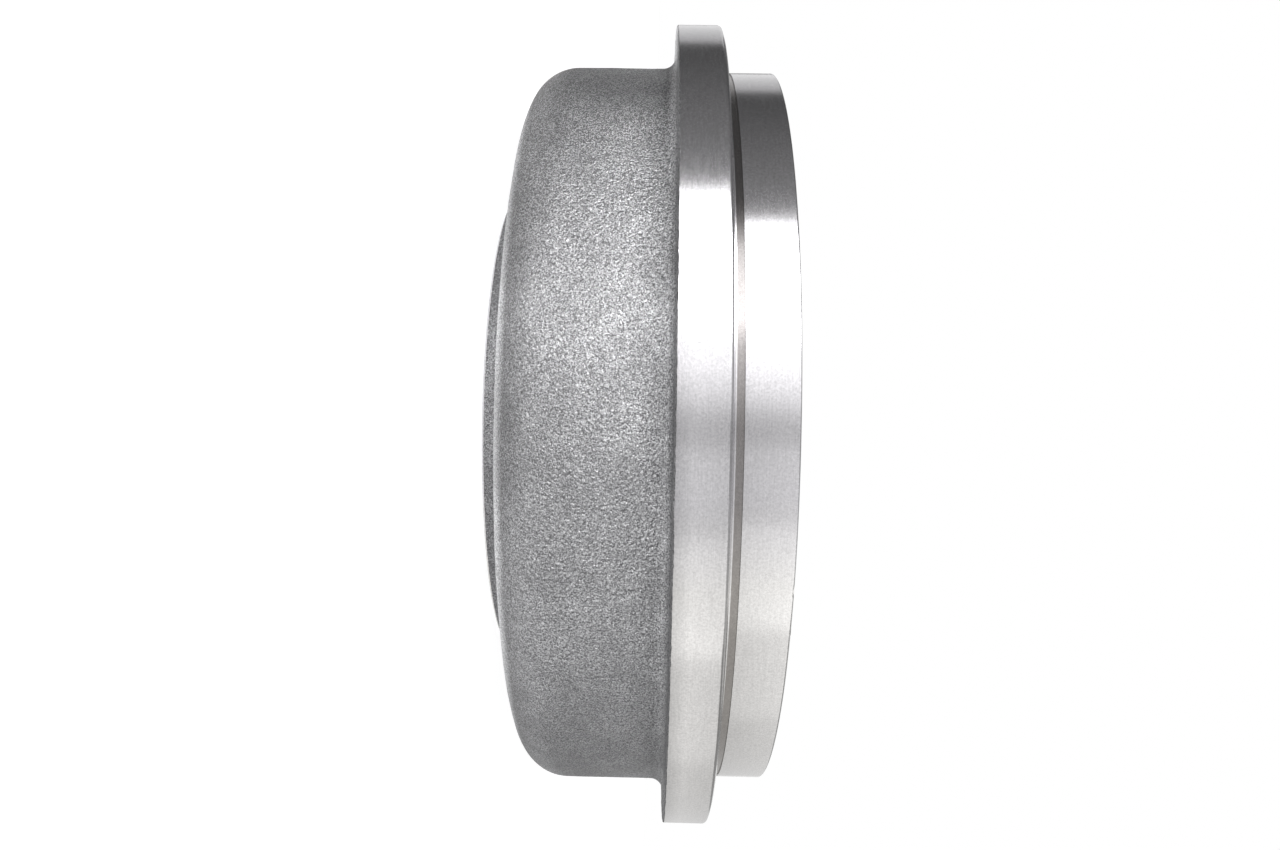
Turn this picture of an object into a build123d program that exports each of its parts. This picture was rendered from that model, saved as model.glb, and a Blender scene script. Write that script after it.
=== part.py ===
"""Brake drum for the rear axle of a pickup or light van, in millimetres.

One grey-iron casting, turned and drilled. The drum stands on its closed end: the raised hub
pad's face is at z = 0, the axis is +Z and the open mouth is on top. The whole casting is one
revolved section, with rounds at the shell's cast corners and small chamfers at the turned
edges. The stud holes and the two threaded removal holes are then drilled through the hub pad.
"""

import os
from math import isclose

from build123d import *

os.makedirs("parts", exist_ok=True)

# ---- Driving dimensions ----

# Diameters and radial sizes
friction_d = 254.0  # turned bore that the shoes press on
wall_t = 10.3  # iron outside that bore, at the cast shell
rim_step = 1.2  # the turned rim land lies this far inside the cast shell
groove_depth = 0.6  # relief groove between the rim land and the flange
flange_h = 14.7  # height of the stiffening flange over the cast shell
machining_allowance = 2.5  # the cast wall below the friction bore stands in by this much

# Lengths along the axis
overall_h = 95.2  # wheel seat to the open end
rim_w = 15.4  # turned rim land
groove_w = 2.6
flange_t = 17.4  # flange thickness at its root
flange_draft = 0.9  # fall of the flange's open side from root to edge
web_t = 8.0  # closed end's thickness
friction_w = 61.0  # friction bore's length
lead_in_w = 4.0  # cone that leads the shoes in at the mouth
lead_in_h = 2.4

# Hub pad and its holes
pad_h = 9.2  # the pad stands this far out of the closed end
pad_t = 8.0  # pad thickness, from wheel seat to hub seat
pad_draft = 0.7  # the pad's side widens by this much towards its foot
pad_margin = 13.3  # pad left outside the stud holes
recess_wall = 7.6  # pad's side wall, outside the hub recess
recess_draft = 1.2
hub_bore_d = 106.0
stud_pcd = 139.7
stud_count = 6
stud_hole_d = 15.0
jack_count = 2  # threaded removal holes, between the studs on the same circle
jack_drill_d = 6.8  # tapping size for M8

# Cast corners: rounds outside, plain cones at the pad's foot and inside the bowl
shell_corner_r = 16.5
flange_root_r = 3.8
pad_foot = 3.0
inner_corner = 5.5

# Chamfers at the turned edges
rim_chamfer = 0.7
flange_chamfer = 1.2
flange_back_chamfer = 0.8
pad_chamfer = 0.6
bore_chamfer = 1.0
stud_chamfer = 0.6
jack_chamfer = 0.8

# ---- Radii and stations worked out from them ----

friction_r = friction_d / 2
shell_r = friction_r + wall_t
rim_r = shell_r - rim_step
groove_r = rim_r - groove_depth
flange_r = shell_r + flange_h
cast_bore_r = friction_r - machining_allowance

stud_circle_r = stud_pcd / 2
pad_r = stud_circle_r + stud_hole_d / 2 + pad_margin
recess_r = pad_r - recess_wall
hub_bore_r = hub_bore_d / 2

z_groove = overall_h - rim_w
z_flange = z_groove - groove_w
z_flange_edge = z_flange - flange_draft
z_flange_back = z_flange - flange_t
z_friction = overall_h - lead_in_w
z_friction_end = z_friction - friction_w
z_closed = pad_h
z_closed_inside = z_closed + web_t
z_hub_seat = pad_t

# The section's corners as (radius, height) and the round at each, once round the iron
section_corners = [
    # hub pad, faced for the wheel and for the hub
    ((hub_bore_r, z_hub_seat), 0),
    ((hub_bore_r, 0), 0),
    ((pad_r, 0), 0),
    ((pad_r + pad_draft, z_closed - pad_foot), 0),
    ((pad_r + pad_draft + pad_foot, z_closed), 0),
    # cast shell
    ((shell_r, z_closed), shell_corner_r),
    ((shell_r, z_flange_back), flange_root_r),
    # stiffening flange, turned on its rim and open side, cast on its other side
    ((flange_r, z_flange_back), 0),
    ((flange_r, z_flange_edge - flange_chamfer), 0),
    ((flange_r - flange_chamfer, z_flange_edge), 0),
    # relief groove and rim land
    ((groove_r, z_flange), 0),
    ((groove_r, z_groove - groove_depth), 0),
    ((rim_r, z_groove), 0),
    ((rim_r, overall_h), 0),
    # mouth, friction bore and cast inside
    ((friction_r + lead_in_h, overall_h), 0),
    ((friction_r, z_friction), 0),
    ((friction_r, z_friction_end), 0),
    ((cast_bore_r, z_friction_end), 0),
    ((cast_bore_r, z_closed_inside + inner_corner), 0),
    ((cast_bore_r - inner_corner, z_closed_inside), 0),
    ((recess_r + recess_draft, z_closed_inside), 0),
    ((recess_r, z_hub_seat), 0),
]


def round_edges(part, radius, z=None):
    """The part's circular edges of this radius, all of them or those at one height."""
    circles = part.edges().filter_by(GeomType.CIRCLE)
    circles = circles.filter_by(lambda edge: isclose(edge.radius, radius, abs_tol=1e-5))
    if z is None:
        return circles
    return circles.filter_by(lambda edge: isclose(edge.arc_center.Z, z, abs_tol=1e-5))


with BuildPart() as brake_drum:
    with BuildSketch(Plane.XZ) as section:
        with BuildLine():
            FilletPolyline(
                [point for point, _ in section_corners],
                radius=[radius for _, radius in section_corners],
                close=True,
            )
        make_face()
    revolve(axis=Axis.Z)

    # Turned edges
    chamfer(round_edges(brake_drum, rim_r, overall_h), rim_chamfer)
    chamfer(round_edges(brake_drum, flange_r, z_flange_back), flange_back_chamfer)
    chamfer(round_edges(brake_drum, pad_r, 0), pad_chamfer)

    # Stud holes and removal holes, drilled from the wheel's side
    with Locations(Plane.XY.offset(z_hub_seat)):
        with PolarLocations(stud_circle_r, stud_count, start_angle=180 / stud_count):
            Hole(stud_hole_d / 2, depth=pad_t)
        with PolarLocations(stud_circle_r, jack_count):
            Hole(jack_drill_d / 2, depth=pad_t)
    chamfer(round_edges(brake_drum, hub_bore_r), bore_chamfer)
    chamfer(round_edges(brake_drum, stud_hole_d / 2), stud_chamfer)
    chamfer(round_edges(brake_drum, jack_drill_d / 2), jack_chamfer)

brake_drum.part.label = "brake_drum"
export_step(brake_drum.part, "parts/brake_drum.step")
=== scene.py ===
"""The brake drum in a plain light studio: its cast skin, its turned faces, the floor, the light."""

from math import cos, hypot, pi, radians, sin, tau

import bpy
from mathutils import Matrix, Vector, geometry, noise

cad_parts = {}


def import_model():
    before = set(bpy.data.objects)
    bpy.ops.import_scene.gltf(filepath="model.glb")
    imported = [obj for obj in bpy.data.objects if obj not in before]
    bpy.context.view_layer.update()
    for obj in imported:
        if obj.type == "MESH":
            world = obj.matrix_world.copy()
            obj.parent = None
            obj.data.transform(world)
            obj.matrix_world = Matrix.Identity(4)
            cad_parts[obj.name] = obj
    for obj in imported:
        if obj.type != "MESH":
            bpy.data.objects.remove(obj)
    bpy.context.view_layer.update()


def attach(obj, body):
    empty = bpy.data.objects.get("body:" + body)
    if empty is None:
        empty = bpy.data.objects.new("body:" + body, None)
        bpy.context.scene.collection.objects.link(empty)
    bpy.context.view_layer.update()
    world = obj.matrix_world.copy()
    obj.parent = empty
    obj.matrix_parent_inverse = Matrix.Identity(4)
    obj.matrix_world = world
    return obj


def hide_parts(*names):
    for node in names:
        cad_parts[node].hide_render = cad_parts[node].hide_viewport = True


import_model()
MM = 0.001

# ---------------------------------------------------------------- camera
# The lens, the camera's distance and its height over the table in mm, and its turns in radians
LENS, DISTANCE, HEIGHT = 27.04, 396.7, 55.9
YAW, PITCH, ROLL = -0.0173, -0.0017, 0.0184


def studio_camera():
    data = bpy.data.cameras.new("camera")
    data.lens, data.sensor_width, data.sensor_fit = LENS, 36.0, "HORIZONTAL"
    data.clip_start, data.clip_end = 0.01, 50.0
    camera = bpy.data.objects.new("camera", data)
    bpy.context.scene.collection.objects.link(camera)
    right = Vector((cos(YAW), 0, sin(YAW)))
    back = Vector((-sin(YAW), 0, cos(YAW)))
    up = Vector((0, cos(PITCH), 0)) + sin(PITCH) * back
    back = Vector((0, -sin(PITCH), 0)) + cos(PITCH) * back
    right, up = cos(ROLL) * right + sin(ROLL) * up, -sin(ROLL) * right + cos(ROLL) * up
    # The picture's right is the drum's +Z, its top is -X, and the camera stands on -Y
    turn = Matrix(((0, -1, 0), (0, 0, -1), (1, 0, 0)))
    axes = turn @ Matrix((right, up, back)).transposed()
    camera.matrix_world = Matrix.Translation((0, -DISTANCE * MM, HEIGHT * MM)) @ axes.to_4x4()
    bpy.context.scene.camera = camera


studio_camera()

# ---------------------------------------------------------------- the drum's section, in mm
# Finishes, in the order of the mesh's materials
CAST, TURNED, GROOVE = 0, 1, 2
# Radii outside: pad, shell, flange, floor of the relief groove, rim land
PAD, SHELL, FLANGE, NECK, LAND = 91.2, 137.3, 152.0, 135.5, 136.1
# Radii inside: friction bore, cast wall behind it, foot of the recess over the pad
BORE, WALL, RECESS = 127.0, 124.5, 83.2
# Heights: hub's seat, closed end outside and inside, flange's back and its front corner, mouth
SEAT, END, FLOOR, BACK, FRONT, DEPTH = 8.0, 9.2, 17.2, 60.5, 74.3, 95.2
# How close a turned run's second row stands to its ends
CLOSE_ROW = 0.12


def line(a, b, n, finish, rough=0.0):
    """A straight run. A turned one has a row close to each end, to keep its shading flat."""
    steps = [i / n for i in range(n)]
    length = hypot(b[0] - a[0], b[1] - a[1])
    if finish == TURNED and length > 1.0:
        steps = [0.0, CLOSE_ROW / length, *steps[1:], 1 - CLOSE_ROW / length]
    return [((a[0] + (b[0] - a[0]) * t, a[1] + (b[1] - a[1]) * t), finish, rough) for t in steps]


def arc(centre, radius, start, end, n, finish, rough=0.0):
    turns = (radians(start + (end - start) * i / n) for i in range(n))
    return [((centre[0] + radius * cos(t), centre[1] + radius * sin(t)), finish, rough)
            for t in turns]


# From the edge of the pad's face round the outside and the mouth to the hub's seat. Each row is a
# point, the finish of the strip after it, and how much of the casting's unevenness it takes.
section = [
    # The pad's side and the round at its foot
    *line((90.05, 0), (90.65, 0.6), 2, TURNED),
    *line((90.65, 0.6), (PAD, 5.3), 5, CAST, 0.7),
    *arc((95.2, 5.2), 4.0, 180, 90, 6, CAST, 1.0),
    # The closed end, its corner and the shell
    *line((95.2, END), (120.8, END), 14, CAST, 1.0),
    *arc((120.8, 25.7), 16.5, -90, 0, 18, CAST, 1.0),
    *line((SHELL, 25.7), (SHELL, 56.0), 24, CAST, 1.0),
    # The root under the flange, the flange's back and the soft corner of its casting
    *arc((141.8, 56.0), 4.5, 180, 90, 8, CAST, 1.0),
    *line((141.8, BACK), (151.1, BACK), 7, CAST, 0.8),
    *line((151.1, BACK), (151.7, 60.62), 2, CAST, 0.5),
    *line((151.7, 60.62), (FLANGE, 60.9), 3, CAST, 0.5),
    # The flange's turned edge, its rounded corner and its front
    *line((FLANGE, 60.9), (FLANGE, FRONT), 1, TURNED),
    *arc((150.6, FRONT), 1.4, 0, 50, 5, TURNED),
    *line((151.5, 75.37), (150.1, 75.82), 1, TURNED),
    *line((150.1, 75.82), (NECK, 77.15), 1, TURNED),
    # The relief groove
    *line((NECK, 77.15), (NECK, 77.55), 1, TURNED),
    *line((NECK, 77.55), (NECK, 79.74), 2, GROOVE),
    *line((NECK, 79.74), (LAND, 79.8), 1, GROOVE),
    # The rim land, the mouth's face and its lead-in
    *line((LAND, 79.8), (LAND, 94.7), 1, TURNED),
    *arc((135.6, 94.7), 0.5, 0, 90, 4, TURNED),
    *line((135.6, DEPTH), (129.4, DEPTH), 1, TURNED),
    *line((129.4, DEPTH), (BORE, 91.2), 1, TURNED),
    # The friction bore, the cast wall behind it, the closed end inside and the recess
    *line((BORE, 91.2), (BORE, 30.2), 1, TURNED),
    *line((BORE, 30.2), (WALL, 30.2), 1, TURNED),
    *line((WALL, 30.2), (WALL, 25.2), 3, CAST, 0.6),
    *arc((116.5, 25.2), 8.0, 0, -90, 7, CAST, 1.0),
    *line((116.5, FLOOR), (87.0, FLOOR), 10, CAST, 1.0),
    *arc((87.0, 14.2), 3.0, 90, 172, 5, CAST, 1.0),
    *line((84.0, 14.6), (RECESS, 9.2), 4, CAST, 0.6),
    *arc((81.75, 9.5), 1.5, -10, -90, 3, TURNED),
    ((81.75, SEAT), TURNED, 0.0),
]

# ---------------------------------------------------------------- the casting's mesh
SEGMENTS, BORE_SEGMENTS, STUD_SEGMENTS, SCREW_SEGMENTS = 560, 240, 64, 48
# Depths in mm of the casting's broad swells, of its sand, and of the ragged line where the turned
# edge meets the skin
SWELLS, SAND, RAGGED = 0.10, 0.045, 0.16
# Nicks in the open edge: direction round the axis in degrees, and depth in mm
NICKS = [(-70.1, 0.35), (-64.2, 0.3), (38.0, 0.25)]
NICK_REACH = 1.6
# The circle of the stud holes and of the two removal holes, as a radius
HOLE_CIRCLE = 69.85
# The M8 thread: pitch, depth, tapping hole's radius, and the heights where it starts and ends
THREAD_PITCH, THREAD_DEPTH, TAPPED, THREAD_TOP, THREAD_END = 1.25, 0.55, 3.4, 7.2, 0.8
THREAD_ROWS = 46


def skin(x, y, z):
    """Unevenness of the sand-cast skin at this point, in mm: broad swells and coarse sand."""
    p = Vector((x, y, z))
    broad = noise.fractal(p * 0.045, 1.0, 2.0, 3)
    sand = noise.fractal(p * 0.55 + Vector((7, 3, 1)), 0.8, 2.1, 2)
    return SWELLS * broad + SAND * sand


def normals(rows):
    """Outward direction (radius, height) at each row of the section."""
    out = []
    for i in range(len(rows)):
        a = rows[max(i - 1, 0)][0]
        b = rows[min(i + 1, len(rows) - 1)][0]
        dr, dz = b[0] - a[0], b[1] - a[1]
        length = hypot(dr, dz) or 1.0
        out.append((dz / length, -dr / length))
    return out


def circle(spots):
    """Centre and radius of a ring of flat points."""
    centre = sum(spots, Vector((0, 0))) / len(spots)
    # A little inside the polygon, so that its own flat sides count as outside
    return centre, (spots[0] - centre).length * cos(pi / len(spots)) * 0.9999


class Drum:
    """The casting's mesh while it is made: points, faces and each face's finish."""

    def __init__(self):
        self.points, self.faces, self.finishes = [], [], []

    def ring(self, radius, height, count=SEGMENTS, centre=(0, 0), shift=None):
        start = len(self.points)
        for k in range(count):
            t = tau * k / count
            r, z = shift(t, radius, height) if shift else (radius, height)
            self.points.append((centre[0] + r * cos(t), centre[1] + r * sin(t), z))
        return list(range(start, start + count))

    def strip(self, low, high, finish):
        count = len(low)
        for k in range(count):
            n = (k + 1) % count
            self.faces.append((low[k], low[n], high[n], high[k]))
            self.finishes.append(finish)

    def wall(self, rows, finish):
        for low, high in zip(rows, rows[1:]):
            self.strip(low, high, finish)

    def plate(self, loops, holes, upward, finish):
        """A flat annulus between two loops, with round holes in it."""
        rings = [*loops, *holes]
        index = [i for ring in rings for i in ring]
        flat = [Vector(self.points[i][:2]) for i in index]
        edges, circles, start = [], [], 0
        for ring in rings:
            count = len(ring)
            edges += [(start + k, start + (k + 1) % count) for k in range(count)]
            circles.append(circle(flat[start:start + count]))
            start += count
        made = geometry.delaunay_2d_cdt(flat, edges, [], 0, 1e-9, True)
        spots, faces = made[0], made[2]
        origin = [index[sources[0]] for sources in made[3]]
        for face in faces:
            middle = sum((spots[i] for i in face), Vector((0, 0))) / len(face)
            inside = [(middle - centre).length < radius for centre, radius in circles]
            if not inside[0] or any(inside[1:]):
                continue
            corners = [origin[i] for i in face]
            a, b, c = (spots[i] for i in face[:3])
            if ((b - a).cross(c - a) > 0) != upward:
                corners.reverse()
            self.faces.append(tuple(corners))
            self.finishes.append(finish)


def nick_shift(t, radius, height):
    depth = sum(d * max(0.0, 1 - abs(t - radians(a) % tau) * radius / NICK_REACH) for a, d in NICKS)
    return radius - depth, height - depth


def cast_shift(row, direction):
    """What moves a ring's points off its plain circle, or None."""
    (row_radius, row_height), _, rough = row
    if hypot(row_radius - LAND, row_height - DEPTH) < 0.45:
        return nick_shift
    across, along = direction
    edge = abs(row_radius - FLANGE) < 1.2 and row_height < BACK + 1

    def shift(t, radius, height):
        x, y = radius * cos(t), radius * sin(t)
        d = skin(x, y, height) * rough
        r, z = radius + across * d, height + along * d
        if edge:
            # The turned rim meets the cast skin in an uneven line
            z += RAGGED * noise.fractal(Vector((x, y, 0)) * 0.45, 0.9, 2.0, 3)
            r = min(r, FLANGE)
        return r, z

    return shift if rough or edge else None


def thread_shift(t, radius, z):
    """The M8 thread, cut outwards from the tapping hole."""
    turn = (z / THREAD_PITCH - t / tau) % 1.0
    crest = min(1.0, max(0.0, (abs(turn - 0.5) * 2 - 0.12) / 0.72))
    depth = THREAD_DEPTH * crest * min(1.0, (z - THREAD_END) / 0.5, (THREAD_TOP - z) / 0.5)
    return radius + max(0.0, depth), z


def build_drum():
    drum = Drum()
    rings = [drum.ring(*row[0], shift=cast_shift(row, direction))
             for row, direction in zip(section, normals(section))]
    for i in range(len(rings) - 1):
        drum.strip(rings[i], rings[i + 1], section[i][1])
    # Hub bore with its two chamfers
    bore = [drum.ring(r, z, BORE_SEGMENTS) for r, z in ((54, SEAT), (53, 7), (53, 1), (54, 0))]
    drum.wall(bore, TURNED)
    tops, bottoms = [], []
    for k in range(6):
        t = radians(30 + 60 * k)
        centre = (HOLE_CIRCLE * cos(t), HOLE_CIRCLE * sin(t))
        rows = [drum.ring(r, z, STUD_SEGMENTS, centre)
                for r, z in ((8.1, SEAT), (7.5, 7.4), (7.5, 0.6), (8.1, 0))]
        drum.wall(rows, TURNED)
        tops.append(rows[0])
        bottoms.append(rows[-1])
    for side in (1, -1):
        centre = (side * HOLE_CIRCLE, 0)
        rows = [drum.ring(4.2, SEAT, SCREW_SEGMENTS, centre)]
        for i in range(THREAD_ROWS + 1):
            z = THREAD_TOP - (THREAD_TOP - THREAD_END) * i / THREAD_ROWS
            rows.append(drum.ring(TAPPED, z, SCREW_SEGMENTS, centre, thread_shift))
        rows.append(drum.ring(4.2, 0, SCREW_SEGMENTS, centre))
        drum.wall(rows, TURNED)
        tops.append(rows[0])
        bottoms.append(rows[-1])
    drum.plate([rings[0], bore[-1]], bottoms, False, TURNED)
    drum.plate([rings[-1], bore[0]], tops, True, TURNED)
    return drum


drum = build_drum()
mesh = bpy.data.meshes.new("drum_casting")
mesh.from_pydata([Vector(p) * MM for p in drum.points], [], drum.faces)
mesh.update()
casting = bpy.data.objects.new("drum_casting", mesh)
bpy.context.scene.collection.objects.link(casting)
for polygon, finish in zip(mesh.polygons, drum.finishes):
    polygon.material_index = finish
    polygon.use_smooth = True
mesh.set_sharp_from_angle(angle=radians(32))


# ---------------------------------------------------------------- materials
def material(name):
    made = bpy.data.materials.new(name)
    made.use_nodes = True
    tree = made.node_tree
    shader = tree.nodes["Principled BSDF"]
    return made, tree, shader


def feed(tree, socket, value):
    """Joins a socket to another node's output, or sets it to a plain value."""
    if isinstance(value, bpy.types.NodeSocket):
        tree.links.new(value, socket)
    else:
        socket.default_value = value


def node(tree, kind, inputs=None, **settings):
    made = tree.nodes.new(kind)
    for key, value in settings.items():
        setattr(made, key, value)
    for key, value in (inputs or {}).items():
        feed(tree, made.inputs[key], value)
    return made


def maths(tree, operation, *values):
    return node(tree, "ShaderNodeMath", dict(enumerate(values)), operation=operation).outputs[0]


def product(tree, a, b):
    return maths(tree, "MULTIPLY", a, b)


def blend(tree, a, share_a, b, share_b):
    return maths(tree, "ADD", product(tree, a, share_a), product(tree, b, share_b))


def noise_at(tree, vector, scale, detail=3.0, rough=0.5):
    made = node(tree, "ShaderNodeTexNoise", {"Vector": vector, "Scale": scale, "Detail": detail,
                                             "Roughness": rough})
    return made.outputs["Fac"]


def between(tree, value, low, high, out_low, out_high):
    """An even run from out_low, where value is low or less, to out_high, where it is high or more."""
    made = node(tree, "ShaderNodeMapRange", {"Value": value, "From Min": low, "From Max": high,
                                             "To Min": out_low, "To Max": out_high})
    return made.outputs["Result"]


def mix_colour(tree, factor, a, b):
    a, b = (value if isinstance(value, bpy.types.NodeSocket) else (*value, 1) for value in (a, b))
    made = node(tree, "ShaderNodeMix", data_type="RGBA")
    for key, value in (("Factor", factor), ("A", a), ("B", b)):
        feed(tree, made.inputs[key], value)
    return made.outputs["Result"]


# Darkest and palest grain of the cast skin, and the colour of its dull patches
SKIN_DARK, SKIN_PALE, SKIN_DULL = (0.20, 0.200, 0.205), (0.782, 0.782, 0.798), (0.18, 0.180, 0.185)


def painted_skin_shade(tree, x, height):
    """The skin's tone by place, as a factor: painted light and shade, paler where the light falls on
    it and darker in the flange's root, on the flange's back and on the pad's side.
    """
    by_flange = between(tree, x, -0.02, 0.05, 1.31, 1.19)
    by_corner = between(tree, x, 0.05, 0.09, 1.0, 0.84)
    high_corner = between(tree, x, -0.085, -0.030, 0.75, 1.0)
    on_pad = between(tree, x, 0.01, 0.03, 0.55, 0.45)
    edge = product(tree, between(tree, x, -0.135, -0.115, 3.0, 0.54),
                   between(tree, x, 0.115, 0.135, 1.0, 1.6))
    back = between(tree, x, 0.115, 0.135, 1.0, 0.62)
    # Each row: what it runs along, from where to where in metres, and the factors at both ends
    painted_zones = [
        # The pad, the round at its foot and the closed end: painted shade on the pad, painted light
        # on the closed end
        (height, 0.0060, 0.0085, on_pad, 1.0), (height, 0.0106, 0.0130, 2.4, 1.0),
        (height, 0.0120, 0.0205, 0.66, 1.0),
        # The corner and the shell next to the flange: painted shade on the corner, painted light by
        # the flange
        (height, 0.016, 0.030, by_corner, 1.0), (height, 0.0215, 0.0275, high_corner, 1.0),
        (height, 0.030, 0.054, 1.0, by_flange),
        # The flange's back and its cast edge: painted shade in the root, on the back and along the
        # edge, painted highlights at the edge's -X and +X ends
        (height, 0.0586, 0.0594, 1.0, 0.76), (height, 0.0590, 0.0604, 1.0, back),
        (height, 0.0598, 0.0607, 1.0, edge),
        # Painted light and shade in broad bands from the -X side to the +X side
        (x, -0.112, -0.091, 0.69, 1.0), (x, -0.078, -0.066, 1.06, 0.90),
        (x, -0.046, -0.038, 1.0, 1.11), (x, -0.040, -0.030, 1.0, 1.08),
        (x, -0.026, 0.002, 1.0, 0.90), (x, 0.006, 0.024, 1.0, 1.05),
        (x, 0.085, 0.105, 1.0, 0.87),
    ]
    shade = 0.95
    for value, low, high, at_low, at_high in painted_zones:
        shade = product(tree, between(tree, value, low, high, at_low, at_high), shade)
    return shade


def cast_skin():
    made, tree, shader = material("cast_skin")
    place = node(tree, "ShaderNodeTexCoord").outputs["Object"]
    x, _, height = node(tree, "ShaderNodeSeparateXYZ", {"Vector": place}).outputs
    grain = noise_at(tree, place, 2450, 2.0, 0.55)
    sand = noise_at(tree, place, 1350, 2.0, 0.55)
    lumps = noise_at(tree, place, 1150, 1.0, 0.5)
    patch = noise_at(tree, place, 26, 4, 0.6)
    cloud = noise_at(tree, place, 110, 3, 0.6)
    # The grain's contrast is painted stronger on the -X side, where the soft box lights the skin
    darkest = between(tree, x, -0.088, -0.040, 0.482, 0.405)
    palest = between(tree, x, -0.088, -0.040, 0.558, 0.635)
    light = between(tree, blend(tree, grain, 0.7, sand, 0.3), darkest, palest, 0.0, 1.0)
    colour = mix_colour(tree, light, SKIN_DARK, SKIN_PALE)
    colour = mix_colour(tree, between(tree, patch, 0.42, 0.66, 0.0, 0.36), colour, SKIN_DULL)
    colour = mix_colour(tree, between(tree, cloud, 0.35, 0.65, 0.0, 0.22), colour, SKIN_DARK)
    shaded = node(tree, "ShaderNodeVectorMath", {0: colour, "Scale": painted_skin_shade(tree, x, height)},
                  operation="SCALE")
    tree.links.new(shaded.outputs[0], shader.inputs["Base Color"])
    shader.inputs["Metallic"].default_value = 0.9
    tree.links.new(between(tree, grain, 0.35, 0.65, 0.66, 0.5), shader.inputs["Roughness"])
    relief = maths(tree, "ADD", product(tree, sand, 0.3), lumps)
    bump = node(tree, "ShaderNodeBump", {"Strength": between(tree, x, -0.085, -0.035, 0.4, 1.0),
                                         "Distance": 0.0008, "Height": relief})
    tree.links.new(bump.outputs["Normal"], shader.inputs["Normal"])
    return made


# Zones of painted light and shade on a turned face, each with where it starts and ends in metres and
# its factors there. The first word says if it runs along X, or else along the axis.
PAINTED_FACE_LIGHT = [(False, 0.0600, 0.0655, 0.83, 1.14), (False, 0.0665, 0.0755, 1.0, 0.87),
              (False, 0.0800, 0.0945, 0.90, 1.08)]
# Painted shade: a dark band across the groove's floor towards -X, paler again towards +X
PAINTED_GROOVE_LIGHT = [(True, -0.100, -0.058, 1.0, 0.38), (True, -0.054, -0.018, 1.0, 2.6)]
# Cast skin left on the flange's edge
SKIN_LEFT = (0.17, 0.17, 0.173)


def painted_zone_shade(tree, painted_zones, x, height, radius):
    """Painted light and shade across each outer face's width. It shows from the middle
    to the +X side and at the far -X end."""
    width = maths(tree, "ADD", between(tree, x, -0.03, 0.01, 0.0, 1.0),
                  between(tree, x, -0.148, -0.141, 1.0, 0.0))
    outer = product(tree, width, maths(tree, "GREATER_THAN", radius, 0.13))
    shade = 1.0
    for along_x, low, high, at_low, at_high in painted_zones:
        if along_x:
            zone = between(tree, x, low, high, at_low, at_high)
        else:
            zone = between(tree, height, low, high, at_low - 1, at_high - 1)
            zone = maths(tree, "MULTIPLY_ADD", zone, outer, 1.0)
        shade = product(tree, zone, shade)
    return shade


def turned_iron(name, dark, pale, smooth, rough, painted_zones):
    """Iron off the lathe: fine rings round the axis, and soft mottling of the iron itself."""
    made, tree, shader = material(name)
    place = node(tree, "ShaderNodeTexCoord").outputs["Object"]
    x, y, height = node(tree, "ShaderNodeSeparateXYZ", {"Vector": place}).outputs
    radius = maths(tree, "SQRT", maths(tree, "ADD", product(tree, x, x), product(tree, y, y)))
    # Rings 0.35 mm apart, in runs of about 8 mm round the axis
    track = node(tree, "ShaderNodeCombineXYZ", {
        "X": product(tree, maths(tree, "ADD", radius, height), 1 / (0.35 * MM)),
        "Y": product(tree, x, 120.0), "Z": product(tree, y, 120.0)})
    fine = noise_at(tree, track.outputs[0], 1.0, 2.0, 0.6)
    mottle = noise_at(tree, place, 1500, 3, 0.6)
    smudge = noise_at(tree, place, 40, 4, 0.6)
    tone = blend(tree, fine, 0.3, mottle, 0.7)
    colour = mix_colour(tree, between(tree, tone, 0.3, 0.7, 0, 1), dark, pale)
    # Painted light and shade across the face, by place
    shade = painted_zone_shade(tree, painted_zones, x, height, radius)
    # The painted shade, a little warmer on the +X side
    tint = node(tree, "ShaderNodeCombineXYZ", {
        "X": product(tree, shade, 1.01), "Y": shade,
        "Z": product(tree, shade, between(tree, x, 0.020, 0.045, 1.03, 0.98))})
    tinted = node(tree, "ShaderNodeVectorMath", {0: colour, 1: tint.outputs[0]}, operation="MULTIPLY")
    # The cast skin runs a little way onto the flange's edge, in an uneven line
    uneven = product(tree, noise_at(tree, place, 420, 3, 0.7), 0.0016)
    ragged = maths(tree, "SUBTRACT", height, uneven)
    left = product(tree, between(tree, ragged, 0.0599, 0.06005, 1.0, 0.0),
                   maths(tree, "GREATER_THAN", radius, 0.15))
    tree.links.new(mix_colour(tree, left, tinted.outputs[0], SKIN_LEFT), shader.inputs["Base Color"])
    shader.inputs["Metallic"].default_value = 1.0
    shader.inputs["Anisotropic"].default_value = 0.3
    shader.inputs["Anisotropic Rotation"].default_value = 0.25
    worn = blend(tree, smudge, 0.75, fine, 0.25)
    roughness = maths(tree, "ADD", between(tree, worn, 0.3, 0.7, smooth, rough),
                      product(tree, left, 0.35))
    tree.links.new(roughness, shader.inputs["Roughness"])
    tangent = node(tree, "ShaderNodeTangent", direction_type="RADIAL", axis="Z")
    tree.links.new(tangent.outputs[0], shader.inputs["Tangent"])
    bump = node(tree, "ShaderNodeBump", {"Strength": 0.1, "Distance": 0.00002, "Height": tone})
    tree.links.new(bump.outputs["Normal"], shader.inputs["Normal"])
    return made


# In the order of the finishes
mesh.materials.append(cast_skin())
mesh.materials.append(turned_iron("turned_iron", (0.55, 0.546, 0.547), (0.77, 0.765, 0.766),
                                  0.155, 0.215, PAINTED_FACE_LIGHT))
mesh.materials.append(turned_iron("groove_iron", (0.235, 0.224, 0.215), (0.33, 0.316, 0.304),
                                  0.22, 0.29, PAINTED_GROOVE_LIGHT))
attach(casting, "root")
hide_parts("brake_drum")

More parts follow.
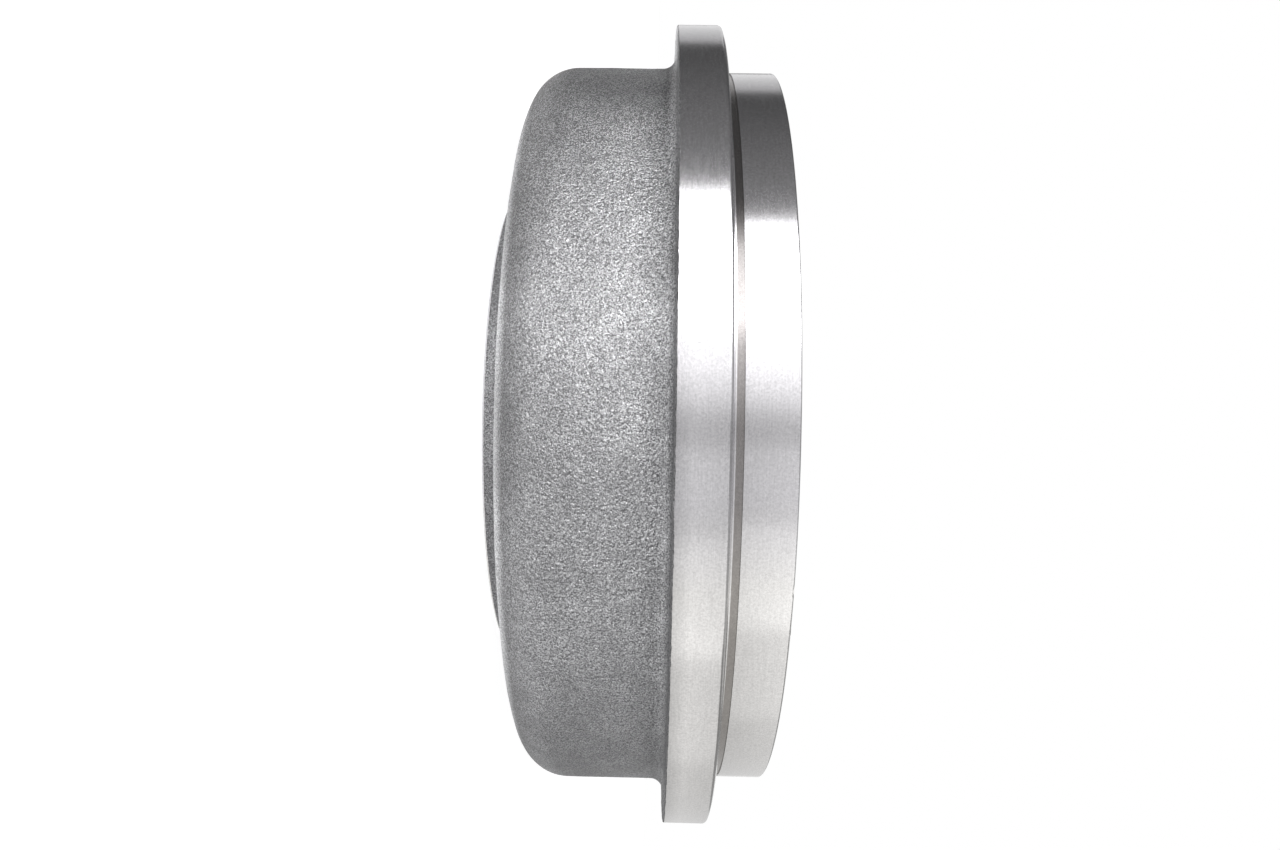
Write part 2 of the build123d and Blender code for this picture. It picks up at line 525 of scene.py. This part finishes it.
# ---------------------------------------------------------------- studio
# The cards that stand round the drum: name, the two angles that each runs between, counted in
# degrees from the camera's side towards the picture's top, its height in metres, and its light at
# the first angle and at the last.
CARDS = [
    ("pale_card_low", -146, -94, 0.35, 0.74, 0.84),
    ("pale_card_side", -94, -58, 0.45, 0.98, 1.02),
    ("soft_box_low", -58, -27, 0.9, 1.38, 1.04),
    ("grey_card", -27, -5.6, 0.9, 0.82, 0.86),
    ("camera_side", -5.6, 2.8, 0.9, 0.58, 0.62),
    ("soft_box_edge", 2.8, 13, 1.1, 0.80, 1.45),
    ("soft_box_side", 13, 26, 1.1, 1.5, 1.8),
    ("soft_box", 26, 53, 1.2, 6.6, 6.6),
    ("soft_box_end", 53, 59.6, 1.2, 4.6, 0.3),
    ("black_card", 59.6, 94, 0.9, 0.265, 0.14),
    ("black_card_far", 94, 119.2, 0.9, 0.14, 0.065),
    ("pale_card_high", 119.2, 145, 0.35, 0.50, 0.95),
    ("far_card", 145, 173, 0.9, 0.25, 0.6),
]
# The dim room, which shows over the low cards
ROOM = [("room_low", -146, -20, 1.22, 0.40, 0.25), ("room", -20, 145, 1.22, 0.15, 0.15)]
# How far from the axis the cards and the room's walls stand, where the walls start, and the
# ceiling's height and reach, all in metres
REACH, ROOM_REACH, ROOM_FOOT, TOP, TOP_REACH = 1.2, 1.2 * 1.03, 0.33, 1.2, 1.05 * 1.2
# The ceiling carries some of each card's light inwards: from one angle to the other, this much at
# its edge, and elsewhere and in its middle the plain level
OVERHEAD = [(-180, -120, 1.0), (-120, -20, 0.65), (-20, 10, 0.45), (10, 57, 0.9), (57, 140, 0.1)]
CEILING = 0.3
# Papers on the table, outside the camera's view: (x, y) corners of the one on the -X side, which
# the other mirrors, and how high they lie
PAPER = [(-0.03, -0.39), (-0.18, -0.05), (-0.57, 0.80), (-1.1, 0.80), (-1.1, -0.9), (-0.03, -0.9)]
PAPER_HEIGHT = 0.0006


def bare(kept_in, name, output):
    """A new material or world whose nodes are cleared down to its output."""
    made = kept_in.new(name)
    made.use_nodes = True
    made.node_tree.nodes.clear()
    return made, made.node_tree, made.node_tree.nodes.new(output)


def card(name, points, faces, shine):
    """A lit card or soft box that lights the drum and shows in it, but not behind it."""
    data = bpy.data.meshes.new(name)
    data.from_pydata(points, [], faces)
    attribute = data.attributes.new("shine", "FLOAT", "POINT")
    attribute.data.foreach_set("value", shine)
    obj = bpy.data.objects.new(name, data)
    bpy.context.scene.collection.objects.link(obj)
    made, tree, out = bare(bpy.data.materials, name + "_light", "ShaderNodeOutputMaterial")
    value = node(tree, "ShaderNodeAttribute", attribute_name="shine")
    lamp = node(tree, "ShaderNodeEmission", {"Strength": value.outputs["Fac"]})
    tree.links.new(lamp.outputs[0], out.inputs["Surface"])
    data.materials.append(made)
    obj.visible_camera = False
    return obj


def standing_card(name, start, end, high, first, last, reach=REACH, foot=0.0):
    count = max(1, round((end - start) / 4))
    points, shine = [], []
    for i in range(count + 1):
        t = radians(start + (end - start) * i / count)
        for height in (foot, high):
            points.append((-reach * sin(t), -reach * cos(t), height))
            shine.append(first + (last - first) * i / count)
    faces = [(2 * i, 2 * i + 1, 2 * i + 3, 2 * i + 2) for i in range(count)]
    card(name, points, faces, shine)


def ceiling():
    rim, shine = [(0, 0, TOP)], [CEILING]
    for angle in range(-180, 180, 5):
        t = radians(angle)
        rim.append((-TOP_REACH * sin(t), -TOP_REACH * cos(t), TOP))
        shine.append(next((light for start, end, light in OVERHEAD if start <= angle < end), CEILING))
    count = len(rim) - 1
    card("ceiling", rim, [(0, 1 + k, 1 + (k + 1) % count) for k in range(count)], shine)


def papers():
    """They keep the floor's light off the cast skin, and throw no shadow."""
    for name, side, light in (("black_paper", 1, 0.06), ("grey_paper", -1, 0.25)):
        corners = [(side * x, y, PAPER_HEIGHT) for x, y in PAPER]
        paper = card(name, corners, [tuple(range(len(corners)))], [light] * len(corners))
        paper.visible_shadow = paper.visible_diffuse = False


def seen(tree):
    """1 where the camera sees the surface, straight, mirrored or through glass, and else 0."""
    path = node(tree, "ShaderNodeLightPath").outputs
    return maths(tree, "MAXIMUM", path["Is Camera Ray"],
                 maths(tree, "MAXIMUM", path["Is Glossy Ray"], path["Is Transmission Ray"]))


def floor():
    """White where it is seen, a little darker in the drum's shadow, and mid grey to the light."""
    bpy.ops.mesh.primitive_plane_add(size=16, location=(0, 0, 0))
    obj = bpy.context.object
    obj.name = "floor"
    made, tree, out = bare(bpy.data.materials, "floor_white", "ShaderNodeOutputMaterial")
    plain = node(tree, "ShaderNodeBsdfDiffuse", {"Color": (0.5, 0.5, 0.5, 1)})
    white = node(tree, "ShaderNodeEmission", {"Strength": 0.9})
    pale = node(tree, "ShaderNodeBsdfDiffuse", {"Color": (0.3, 0.3, 0.3, 1)})
    both = node(tree, "ShaderNodeAddShader", {0: white.outputs[0], 1: pale.outputs[0]})
    pick = node(tree, "ShaderNodeMixShader",
                {"Fac": seen(tree), 1: plain.outputs[0], 2: both.outputs[0]})
    tree.links.new(pick.outputs[0], out.inputs["Surface"])
    obj.data.materials.append(made)


def world():
    made, tree, out = bare(bpy.data.worlds, "studio", "ShaderNodeOutputWorld")
    bpy.context.scene.world = made
    strength = between(tree, seen(tree), 0, 1, 0.6, 1.0)
    light = node(tree, "ShaderNodeBackground", {"Color": (1, 1, 1, 1), "Strength": strength})
    tree.links.new(light.outputs[0], out.inputs["Surface"])


for row in CARDS:
    standing_card(*row)
for row in ROOM:
    standing_card(*row, ROOM_REACH, ROOM_FOOT)
ceiling()
papers()
floor()
world()
bpy.context.scene.view_settings.view_transform = "Standard"
